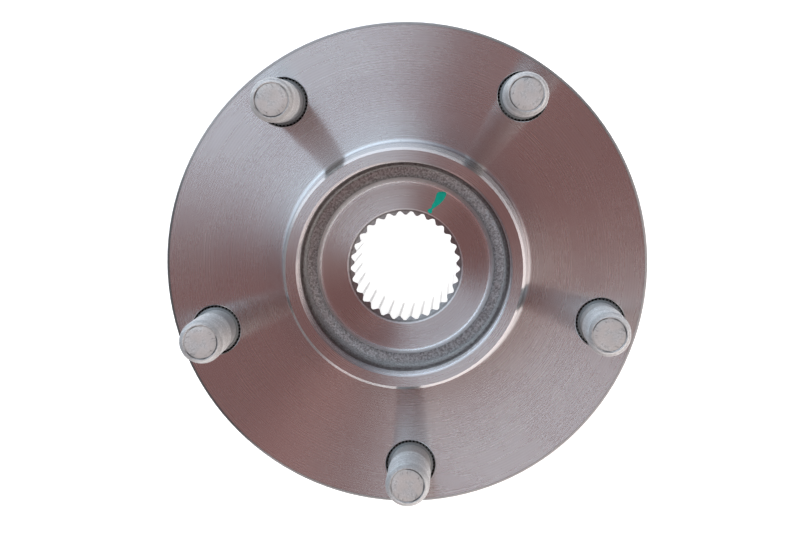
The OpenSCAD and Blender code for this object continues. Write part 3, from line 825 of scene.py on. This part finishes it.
# %% Paint mark: the finish
tree, shader, teal_paint = material_with("teal_paint", Metallic=0.0, Specular_IOR_Level=0.2)
point, *_ = place(tree)
streak = clouds(tree, point, 0.9, 3.0)
finish(
    tree,
    shader,
    mix(tree, streak, (0.001, 0.19, 0.13, 1), (0.002, 0.29, 0.22, 1)),
    rise(tree, streak, 0.3, 0.7, 0.5, 0.35),
    relief(tree, clouds(tree, point, 0.5), 0.02),
)
mark = piece_from("paint_mark", mesh_from("paint_mark", [], [], teal_paint), "hub")
fill_paint(mark.data)
print("paint mark:", len(mark.data.polygons), "faces")

# %% [markdown]
# ## The outer ring
#
# The outer ring is forged and blasted, then machined only where it has to fit: the spigot and
# the face that meet the knuckle, and both ends. One material can show both skins. It needs a
# mask of the machined places, and this part is simple enough to tell them by r and z.

# %% Outer ring
KNUCKLE_Z, RING_TOP_Z = -45.0, -15.5
# The seal bore is rounded to a whole mm.
BARREL_R, SPIGOT_R, SEAL_BORE_R = 42.5, 42.0, 37.0
tree, shader, forged_ring = material_with("forged_ring")
point, r, z = place(tree)
knuckle_face = between(tree, z, KNUCKLE_Z - 0.05, KNUCKLE_Z + 0.1, 0.05)
spigot = times(
    tree,
    rise(tree, z, KNUCKLE_Z + 0.15, KNUCKLE_Z),
    rise(tree, r, SPIGOT_R + 1.2, SPIGOT_R + 1.0),
)
inside = rise(tree, r, SEAL_BORE_R + 1.2, SEAL_BORE_R + 0.8)
top_end = times(
    tree,
    rise(tree, z, RING_TOP_Z - 0.25, RING_TOP_Z - 0.15),
    rise(tree, r, BARREL_R - 1.2, BARREL_R - 1.4),
)
cut = most(tree, knuckle_face, spigot, inside, top_end)
print("masks of the outer ring:", len(tree.nodes), "nodes so far")

# %% Outer ring: the two skins
blast = clouds(tree, point, 0.6, 4.0, 0.65)
broad = clouds(tree, point, 9, 3.0)
tool_marks = rings(tree, r, z, 0.4)
blasted = mix(tree, times(tree, blast, broad), gray(0.13, 0.05), gray(0.46, 0.05))
machined = mix(tree, tool_marks, gray(0.42), gray(0.56))
blasted_rough = rise(tree, blast, 0.3, 0.7, 0.62, 0.48)
finish(
    tree,
    shader,
    mix(tree, cut, blasted, machined),
    rise(tree, cut, 0, 1, blasted_rough, 0.32),
    relief(tree, times(tree, blast, rest(tree, cut)), 0.12, relief(tree, tool_marks, 0.002)),
)
dress(nodes["outer_ring"], forged_ring)
print("outer ring dressed,", len(tree.nodes), "nodes")

# %% [markdown]
# ## Threads in the ears
#
# The four ears take the bolts of the knuckle, so their holes are tapped. A thread is cut by a
# tap, so it is a helix like that of the studs, seen from the outside in. Each sleeve sits just
# inside its plain hole, and its radius goes from the crests of the thread to its roots.

# %% Ear threads: the shape
EAR_COUNT, EAR_CIRCLE_R, EAR_TOP_Z = 4, 56.0, -33.0
EAR_COLUMNS = 48
TAP_CREST_R, TAP_DEPTH, TAP_ROOT_R, TAP_SINK = 5.35, 0.6, 5.98, 0.5
TAP_ROWS, BACK_R = 97, 5.99


def ear_thread_r(angle, height):
    """Radius of a tapped thread at one height, wider at both countersunk ends of its hole."""
    phase = abs((height / THREAD_PITCH + angle / math.tau) % 1 - 0.5) * 2
    open_end = max(0.0, TAP_SINK - min(height - KNUCKLE_Z, EAR_TOP_Z - height))
    return min(TAP_ROOT_R, TAP_CREST_R + TAP_DEPTH * (1 - phase) + open_end)


ear_heights = np.linspace(KNUCKLE_Z + 0.03, EAR_TOP_Z - 0.03, TAP_ROWS)
ear_rows = [(ear_thread_r, height) for height in ear_heights]
ear_rows += [(BACK_R, EAR_TOP_Z - 0.02), (BACK_R, KNUCKLE_Z + 0.02)]
ear_faces = tube_faces(len(ear_rows), EAR_COLUMNS, closed=True)
ear_faces = [tuple(reversed(face)) for face in ear_faces]
print("ear thread:", len(ear_faces), "faces")

# %% Ear threads: in their holes
ear_mesh = mesh_from("ear_1_thread", ring_points(ear_rows, EAR_COLUMNS), ear_faces, forged_ring)
for number in range(EAR_COUNT):
    angle = math.tau * (number + 0.5) / EAR_COUNT
    where = Matrix.Translation(round_point(EAR_CIRCLE_R, angle, 0))
    piece_from(f"ear_{number + 1}_thread", ear_mesh, "outer_ring", where)
print("ear threads in", EAR_COUNT, "holes")

# %% [markdown]
# ## What turns inside
#
# Inside are a hardened inner ring and balls that are ground bright, nylon cages, and seals of
# pressed steel and black rubber. They are small or hidden, but the model may be opened, so each
# gets a finish of its own. Ground steel keeps faint lines round the axis, and a ball has none.

# %% Ground steel
tree, shader, ground_steel = material_with(
    "ground_steel", Anisotropic=0.5, Anisotropic_Rotation=0.25
)
_, r, z = place(tree)
round_grain(tree, shader)
lines = rings(tree, r, z, 0.3, 3.0)
ground = mix(tree, lines, gray(0.56), gray(0.68))
finish(tree, shader, ground, rise(tree, lines, 0.3, 0.7, 0.2, 0.32), relief(tree, lines, 0.0015))
dress(nodes["inner_ring"], ground_steel)
print("ground steel:", len(tree.nodes), "nodes")

# %% [markdown]
# ## Balls
#
# Balls are lapped between two plates until they mirror like glass. They are almost pure mirror,
# so a very low roughness does most of it, and a haze that is hardly seen keeps them from
# looking like chrome. All balls share one material.

# %% Balls
tree, shader, ball_steel = material_with("ball_steel")
point, *_ = place(tree)
haze = clouds(tree, point, 1.5, 4.0)
finish(
    tree,
    shader,
    mix(tree, haze, gray(0.60), gray(0.68)),
    rise(tree, haze, 0.3, 0.7, 0.06, 0.12),
    relief(tree, clouds(tree, point, 0.3), 0.0003),
)
balls = [name for name in nodes if "_ball_" in name]
for name in balls:
    dress(nodes[name], ball_steel)
print("balls:", len(balls))

# %% [markdown]
# ## Cages
#
# A cage is moulded from nylon with glass fibre in it, which is a dull amber. The fibres lie
# along the flow of the mould. Noise squeezed along z gives short level streaks, which is
# cheaper than a drawn texture and has no seam.

# %% Cage nylon
tree, shader, cage_nylon = material_with("cage_nylon", Metallic=0.0)
point, *_ = place(tree)
fibre = clouds(tree, point, 1.2, 4.0, squeeze=(1, 1, 5))
nylon = mix(tree, fibre, (0.50, 0.42, 0.26, 1), (0.66, 0.58, 0.40, 1))
finish(tree, shader, nylon, rise(tree, fibre, 0.3, 0.7, 0.42, 0.55), relief(tree, fibre, 0.02))
print("cage nylon:", len(tree.nodes), "nodes")

# %% [markdown]
# ## Rubber
#
# Seal lips are nitrile rubber, almost black, with a bloom of dust that is a little rougher. The
# magnet ring is rubber too, but filled with iron powder, which makes it browner and gives it
# a fine grain. Two materials keep them apart.

# %% Rubber of the seals and of the magnet ring
tree, shader, black_rubber = material_with("black_rubber", Metallic=0.0)
point, *_ = place(tree)
dust = clouds(tree, point, 2.0, 5.0, 0.6)
finish(
    tree,
    shader,
    mix(tree, dust, gray(0.012), gray(0.035)),
    rise(tree, dust, 0.3, 0.7, 0.5, 0.68),
    relief(tree, clouds(tree, point, 0.4), 0.015),
)

tree, shader, magnet_rubber = material_with("magnet_rubber", Metallic=0.0)
point, r, z = place(tree)
iron = clouds(tree, point, 0.35, 4.0, 0.7)
finish(
    tree,
    shader,
    mix(tree, iron, gray(0.025, 0.2), gray(0.075, 0.2)),
    rise(tree, iron, 0.3, 0.7, 0.38, 0.5),
    relief(tree, rings(tree, r, z, 0.3), 0.004),
)
print("rubbers:", black_rubber.name, magnet_rubber.name)

# %% [markdown]
# ## Pressed sheet
#
# The cases and the slinger are pressed from thin rolled steel, which keeps faint streaks along
# the way it was rolled. They run straight over the sheet and not round it, so the noise is
# squeezed along y and not worked out from r.

# %% Pressed sheet
tree, shader, pressed_sheet = material_with("pressed_sheet")
point, *_ = place(tree)
rolled = clouds(tree, point, 2.0, 4.0, squeeze=(1, 8, 1))
sheet = mix(tree, rolled, gray(0.42), gray(0.56))
finish(tree, shader, sheet, rise(tree, rolled, 0.3, 0.7, 0.3, 0.42), relief(tree, rolled, 0.004))

FINISHES = {
    "outboard_cage": cage_nylon, "inboard_cage": cage_nylon,
    "outboard_seal_lips": black_rubber, "inboard_seal_lips": black_rubber,
    "encoder_ring": magnet_rubber, "outboard_seal_case": pressed_sheet,
    "inboard_seal_case": pressed_sheet, "seal_slinger": pressed_sheet,
}
for name, material in FINISHES.items():
    dress(nodes[name], material)
print("dressed:", sorted(FINISHES))

# %% [markdown]
# ## The light
#
# The photograph is a studio picture on white. Turned steel is a poor mirror, but its bands tell
# what stood round the table: a cool light box at the upper left with a wide weak glow round it,
# a warmer and wider one that hangs low at the lower right, a narrow reddish strip between them
# at the lower left, and a dim reddish room over the rest. The sky here is those boxes, each soft
# at its sides. The camera itself sees plain white. Two soft lamps light the zinc and the skin.

# %% Studio sky
world = bpy.data.worlds.new("studio")
world.use_nodes = True
scene.world = world
tree = world.node_tree
tree.nodes.clear()
ray = add(tree, "TexCoord").outputs["Generated"]
up = add(tree, "SeparateXYZ", ray).outputs[2]
compass = calc(tree, "DEGREES", bearing(tree, ray))


def degrees_from(tree, angle, middle):
    """How far an angle lies from a middle one, in degrees, the short way round."""
    turned_by = calc(tree, "SUBTRACT", angle, middle)
    return calc(tree, "ABSOLUTE", calc(tree, "WRAP", turned_by, 180.0, -180.0))


def light_box(middle, lean, half_width, blur, foot, head, top):
    """The light of one box at a bearing in degrees. It leans by lean degrees on its way up, goes
    from the foot to the head colour, and ends between the two heights in top."""
    line = calc(tree, "MULTIPLY_ADD", up, lean, middle)
    apart = degrees_from(tree, compass, line)
    sides = rise(tree, apart, half_width + blur, half_width - blur)
    seen = times(tree, sides, rise(tree, up, top[1], top[0]))
    color = mix(tree, rise(tree, up, 0.1, 0.8), (*foot, 1), (*head, 1))
    return mix(tree, seen, (0, 0, 0, 1), color)


print("sky starts with", len(tree.nodes), "nodes")

# %% Light boxes
RED_STRIP = (0.45, 0.25, 0.22)
room = mix(tree, rise(tree, up, 0.6, 0.95), (0.25, 0.20, 0.22, 1), (0.31, 0.15, 0.14, 1))
for box in [
    light_box(117, 16, 41, 19, (0.75, 0.77, 0.93), (1.75, 2.26, 2.62), (0.47, 1.2)),
    light_box(121, 0, 68, 14, (0.0, 0.05, 0.08), (0.0, 0.11, 0.15), (0.5, 1.2)),
    light_box(328, -36, 54, 18, (1.68, 1.35, 1.30), (1.06, 1.31, 1.28), (0.66, 0.72)),
    light_box(239, 0, 8, 9, RED_STRIP, RED_STRIP, (0.70, 0.95)),
]:
    room = vector(tree, "ADD", room, box)
lit = add(tree, "Background", room, 1.0).outputs[0]
white = add(tree, "Background", (1, 1, 1, 1), 1.0).outputs[0]
camera_ray = add(tree, "LightPath").outputs["Is Camera Ray"]
add(tree, "OutputWorld", add(tree, "MixShader", camera_ray, lit, white).outputs[0])
print("sky:", len(tree.nodes), "nodes")

# %% [markdown]
# ## Two lamps
#
# Zinc and forged skin scatter light more than they mirror it. Two square lamps, on the sides of
# the two large boxes, light them. They are hidden from mirrored rays, so that they can't draw
# spots on the turned steel.

# %% Lamps
LAMP_REACH, LAMP_SIZE, LAMP_ELEVATION = 0.9, 0.5, 38


def soft_lamp(name, azimuth, watts, color):
    """A square area lamp that looks at the part from a direction given in degrees."""
    lamp = bpy.data.objects.new(name, bpy.data.lights.new(name, "AREA"))
    lamp.data.size = LAMP_SIZE
    lamp.data.energy = watts
    lamp.data.color = color
    scene.collection.objects.link(lamp)
    a, e = math.radians(azimuth), math.radians(LAMP_ELEVATION)
    way = Vector((math.cos(a) * math.cos(e), math.sin(a) * math.cos(e), math.sin(e)))
    lamp.matrix_world = aim(way * LAMP_REACH, Vector((0, 0, 0)), Vector((0, 0, 1)))
    lamp.visible_glossy = False


soft_lamp("light_left", 127, 4.6, (0.90, 0.96, 1.0))
soft_lamp("light_right", 307, 5.4, (1.0, 0.95, 0.87))

# %% [markdown]
# ## The table
#
# The part stands on a pale table that the photograph shows as pure white, also through the bore.
# More light would bleach the steel, so the table glows a little by itself for the camera, and
# the part's shadow still falls on it. Under the bore the glow is stronger, a painted pool of
# light. Mirrored rays see a glow of their own: a painted pool of light under the bore, a painted
# shadow under the part, and a brighter table farther out, except on the left, where it is painted
# dark, as the fillet of the pilot shows that the studio was dark.

# %% Table top
TABLE_HALF = 3.0
TABLE_GAP = 0.0002
table_z = cad_box[0].z - TABLE_GAP
corners = [(-1, -1), (1, -1), (1, 1), (-1, 1)]
mesh = bpy.data.meshes.new("table")
points = [(TABLE_HALF * a, TABLE_HALF * b, table_z) for a, b in corners]
mesh.from_pydata(points, [], [(0, 1, 2, 3)])
table = bpy.data.objects.new("table", mesh)
scene.collection.objects.link(table)
print("table at", round(table_z / MM, 2), "mm")

# %% [markdown]
# ## The glow of the table
#
# What a ray sees depends on what kind of ray it is. The camera gets the glow that makes the
# table white, and mirrored rays get one of their own. A diffuse ray gets none, so the glow
# lights nothing and the shadows stay. Seen from below the table is clear, so that it hides
# nothing in a view from there.

# %% Where on the table a point lies
white_table = bpy.data.materials.new("white_table")
white_table.use_nodes = True
tree = white_table.node_tree
tree.nodes.clear()
path = add(tree, "LightPath").outputs
mirrored = most(tree, path["Is Glossy Ray"], path["Is Transmission Ray"])
spot = vector(tree, "MULTIPLY", add(tree, "TexCoord").outputs["Object"], (1, 1, 0))
away = add(tree, "VectorMath", spot, operation="LENGTH").outputs["Value"]
# Under the bore the glow grows between these two distances, in metres.
UNDER_BORE = (0.024, 0.018)
DARK_BEARING, DARK_OUT, DARK_IN = 195.0, 42, 28
off_dark = degrees_from(tree, calc(tree, "DEGREES", bearing(tree, spot)), DARK_BEARING)
dark_side = rise(tree, off_dark, DARK_OUT, DARK_IN)
print("table places:", len(tree.nodes), "nodes so far")

# %% White table
# Painted light and shadow for mirrored rays: brightest under the bore, dim under the part and on
# the dark side.
far_glow = times(tree, rise(tree, away, 0.05, 0.12, 0, 0.35), rest(tree, dark_side))
mirror_glow = plus(tree, rise(tree, away, *UNDER_BORE, 0.35, 1.05), far_glow)
# A painted pool of light under the bore, for the camera.
seen_glow = rise(tree, away, *UNDER_BORE, 0.45, 0.9)
direct = plus(
    tree,
    times(tree, path["Is Camera Ray"], seen_glow),
    times(tree, mirrored, mirror_glow),
)
# Painted shade: mirrored rays find the table's colour dark on the left, away from the part.
shade = times(tree, mirrored, dark_side, rise(tree, away, 0.07, 0.12))
matte = add(tree, "BsdfDiffuse", mix(tree, shade, gray(0.85), gray(0.15))).outputs[0]
glow = add(tree, "Emission", (1, 1, 1, 1), direct).outputs[0]
top = add(tree, "AddShader", matte, glow).outputs[0]
clear = add(tree, "BsdfTransparent").outputs[0]
below = add(tree, "NewGeometry").outputs["Backfacing"]
add(tree, "OutputMaterial", add(tree, "MixShader", below, top, clear).outputs[0])
dress(table, white_table)
print("white table:", len(tree.nodes), "nodes")
